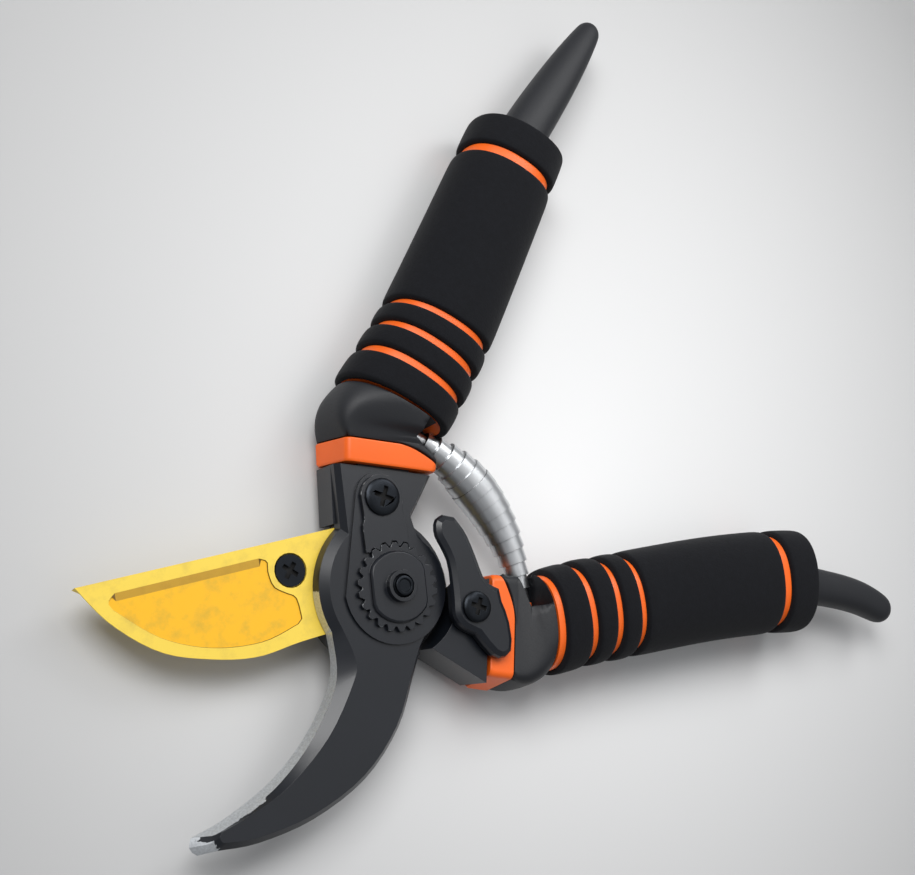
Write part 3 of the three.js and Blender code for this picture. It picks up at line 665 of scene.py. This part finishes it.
# Paint is worn from the edges outside this radius, and the bare steel there also serves as painted
# edge highlights: on the nut only its teeth, on the plate all
WORN_FROM = {"gear_nut": 8.6 * MM, "lock_plate": 0}
WORN_TILT = (0.1, 0.95)


class SHEARS_OT_nut(bpy.types.Operator):
    """Geared pivot nut and the lock plate that holds its teeth"""
    bl_idname = "shears.nut"
    bl_label = "Gear nut and lock plate"

    def execute(self, context):
        for node, radius in WORN_FROM.items():
            piece = flattened(copied(node, "painted_" + node))
            rounded(piece, sizes().machined_edge)

            def worn_and_highlit_edges(place, normal):
                on_edge = WORN_TILT[0] < normal.z < WORN_TILT[1] and place.xy.length > radius
                return BARE_AND_HIGHLIT_EDGE if on_edge else WHOLE_PAINT

            # Bare steel on the sloping edges: wear, and also painted edge highlights
            mark_bare(piece, worn_and_highlit_edges)
            done(piece, node, "hook_side", "satin_paint")
        return {"FINISHED"}


class SHEARS_OT_latch(bpy.types.Operator):
    """Thumb latch: a cast lever with rounded edges"""
    bl_idname = "shears.latch"
    bl_label = "Thumb latch"

    def execute(self, context):
        piece = flattened(copied("latch_lever", "cast_latch"))
        rounded(piece, sizes().latch_edge, segments=4)
        mark_bare(piece, unworn)
        done(piece, "latch_lever", "latch", "satin_paint", angle=65)
        return {"FINISHED"}


# Faces of the spring smaller than this are the edges of the strip's steps, coloured nearly black as
# painted shade
STEP_AREA = 0.8 * MM * MM


class SHEARS_OT_spring(bpy.types.Operator):
    """Return spring: strip wound in steps, pressed between the handles"""
    bl_idname = "shears.spring"
    bl_label = "Return spring"

    def execute(self, context):
        piece = squared(copied("return_spring", "wound_spring"))
        for name in ("spring_strip", "step_edge_painted_shade"):
            piece.data.materials.append(finish(name))
        # Painted shade: the small step faces get the nearly black steel
        for face in piece.data.polygons:
            face.material_index = 1 if face.area < STEP_AREA else 0
        rounded(piece, sizes().strip_edge, angle=40)
        shaded(piece, angle=60)
        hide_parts("return_spring")
        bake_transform(piece)
        return {"FINISHED"}


# ---------------------------------------------------------------- handles

# How the edges of each moulded piece are rounded
MOULDED = {
    "collar": {"size": "collar_edge", "segments": 3, "angle": 40},
    "spring_seat": {"size": "machined_edge", "segments": 2, "angle": 18},
}


class SHEARS_OT_collars(bpy.types.Operator):
    """Moulded collars between the arms and the handles, and the spring's seats"""
    bl_idname = "shears.collars"
    bl_label = "Collars"

    def execute(self, context):
        for side in SIDES:
            for name, edge in MOULDED.items():
                node = f"{side}_{name}"
                piece = flattened(copied(node, "moulded_" + node))
                rounded(piece, getattr(sizes(), edge["size"]), edge["segments"], edge["angle"])
                done(piece, node, BODY[side], "moulded_vinyl")
        return {"FINISHED"}


class SHEARS_OT_handles(bpy.types.Operator):
    """Dipped handles: the knee below the foam and the tail beyond it"""
    bl_idname = "shears.handles"
    bl_label = "Handles"

    def execute(self, context):
        for side in SIDES:
            node = side + "_handle"
            piece = creased(squared(copied(node, "dipped_" + node)), angle=50, amount=0.75)
            subdivided(piece)
            done(piece, node, BODY[side], "dipped_vinyl", angle=50)
        return {"FINISHED"}


class SHEARS_OT_sleeves(bpy.types.Operator):
    """Orange sleeves that show between the foam pieces"""
    bl_idname = "shears.sleeves"
    bl_label = "Inner sleeves"

    def execute(self, context):
        for side in SIDES:
            node = side + "_inner_sleeve"
            piece = creased(squared(copied(node, "moulded_" + node)), angle=45, amount=0.9)
            subdivided(piece)
            done(piece, node, BODY[side], "moulded_vinyl")
        return {"FINISHED"}


class SHEARS_OT_foam(bpy.types.Operator):
    """Foam grips: tubes with softened edges, swollen a little past their plain size"""
    bl_idname = "shears.foam"
    bl_label = "Foam grips"

    def execute(self, context):
        for side in SIDES:
            for name in FOAM:
                node = f"{side}_{name}"
                piece = creased(squared(copied(node, "foam_" + node)), angle=24, amount=0.62)
                subdivided(piece)
                swollen(piece, sizes().foam_swell)
                done(piece, node, BODY[side], "closed_cell_foam", angle=80)
        return {"FINISHED"}


# ---------------------------------------------------------------- stage

# The camera: where it is and where it aims in metres, its roll in degrees, its lens in millimetres
CAMERA = {
    "place": (-0.14063, 0.07796, 0.30572),
    "aim": (0.03859, 0.01403, 0.01075),
    "roll": 69.63,
    "lens": 59.016,
    "sensor": 36.0,
}

# Each lamp: its place and width in metres, and its power in watts
LAMPS = {
    "key": ((0.01, 0.45, 0.66), 0.42, 4.9),
    "top": ((0.34, 0.10, 0.46), 0.30, 0.7),
    "fill": ((0.22, -0.26, 0.60), 0.60, 0.5),
    "strip": ((0.34, 0.04, 0.26), 0.14, 0.3),
}
SKY_COLOUR, SKY_STRENGTH = (0.9, 0.92, 0.95, 1), 0.3
FLOOR_WIDTH, FLOOR_GAP = 6, 0.05 * MM


class SHEARS_OT_stage(bpy.types.Operator):
    """Pale floor, soft lamps and the camera"""
    bl_idname = "shears.stage"
    bl_label = "Stage"

    def execute(self, context):
        bpy.ops.object.select_all(action="DESELECT")
        top = TOOL_UNDERSIDE - FLOOR_GAP
        bpy.ops.mesh.primitive_plane_add(size=FLOOR_WIDTH, location=(0, 0, top))
        floor = context.object
        floor.name = "floor"
        floor.data.materials.append(finish("floor_painted_light_pool"))

        target = Vector(CAMERA["aim"])
        for name, (place, width, power) in LAMPS.items():
            bpy.ops.object.light_add(type="AREA", location=place)
            lamp = context.object
            lamp.name = "lamp_" + name
            lamp.data.size = width
            lamp.data.energy = power
            lamp.rotation_euler = (target - Vector(place)).to_track_quat("-Z", "Y").to_euler()

        world = bpy.data.worlds.new("studio")
        context.scene.world = world
        world.use_nodes = True
        background = world.node_tree.nodes["Background"]
        background.inputs["Color"].default_value = SKY_COLOUR
        background.inputs["Strength"].default_value = SKY_STRENGTH

        bpy.ops.object.camera_add(location=CAMERA["place"])
        camera = context.object
        look = (target - Vector(CAMERA["place"])).to_track_quat("-Z", "Y")
        camera.rotation_mode = "QUATERNION"
        camera.rotation_quaternion = look @ Quaternion((0, 0, 1), radians(CAMERA["roll"]))
        camera.data.lens = CAMERA["lens"]
        camera.data.sensor_width = CAMERA["sensor"]
        camera.data.sensor_fit = "HORIZONTAL"
        context.scene.camera = camera
        context.scene.view_settings.view_transform = "Standard"
        return {"FINISHED"}


OPERATORS = (
    SHEARS_OT_stage,
    SHEARS_OT_hook,
    SHEARS_OT_lower_arm,
    SHEARS_OT_blade,
    SHEARS_OT_hardware,
    SHEARS_OT_nut,
    SHEARS_OT_latch,
    SHEARS_OT_spring,
    SHEARS_OT_collars,
    SHEARS_OT_handles,
    SHEARS_OT_sleeves,
    SHEARS_OT_foam,
)


class SHEARS_PT_panel(bpy.types.Panel):
    """Lists the pieces, the sizes and the colours"""
    bl_label = "Pruning Shears"
    bl_idname = "SHEARS_PT_panel"
    bl_space_type = "VIEW_3D"
    bl_region_type = "UI"
    bl_category = "Shears"

    def draw(self, context):
        for group in (context.scene.shears_colours, context.scene.shears_sizes):
            box = self.layout.box()
            for name in group.__annotations__:
                box.prop(group, name)
        for operator in OPERATORS:
            self.layout.operator(operator.bl_idname)


CLASSES = (ShearsColours, ShearsSizes, *OPERATORS, SHEARS_PT_panel)


def register():
    for each in CLASSES:
        bpy.utils.register_class(each)
    bpy.types.Scene.shears_colours = bpy.props.PointerProperty(type=ShearsColours)
    bpy.types.Scene.shears_sizes = bpy.props.PointerProperty(type=ShearsSizes)


def unregister():
    del bpy.types.Scene.shears_sizes
    del bpy.types.Scene.shears_colours
    for each in reversed(CLASSES):
        bpy.utils.unregister_class(each)


def main():
    register()
    for operator in OPERATORS:
        group, name = operator.bl_idname.split(".")
        getattr(getattr(bpy.ops, group), name)()


if __name__ == "__main__":
    main()
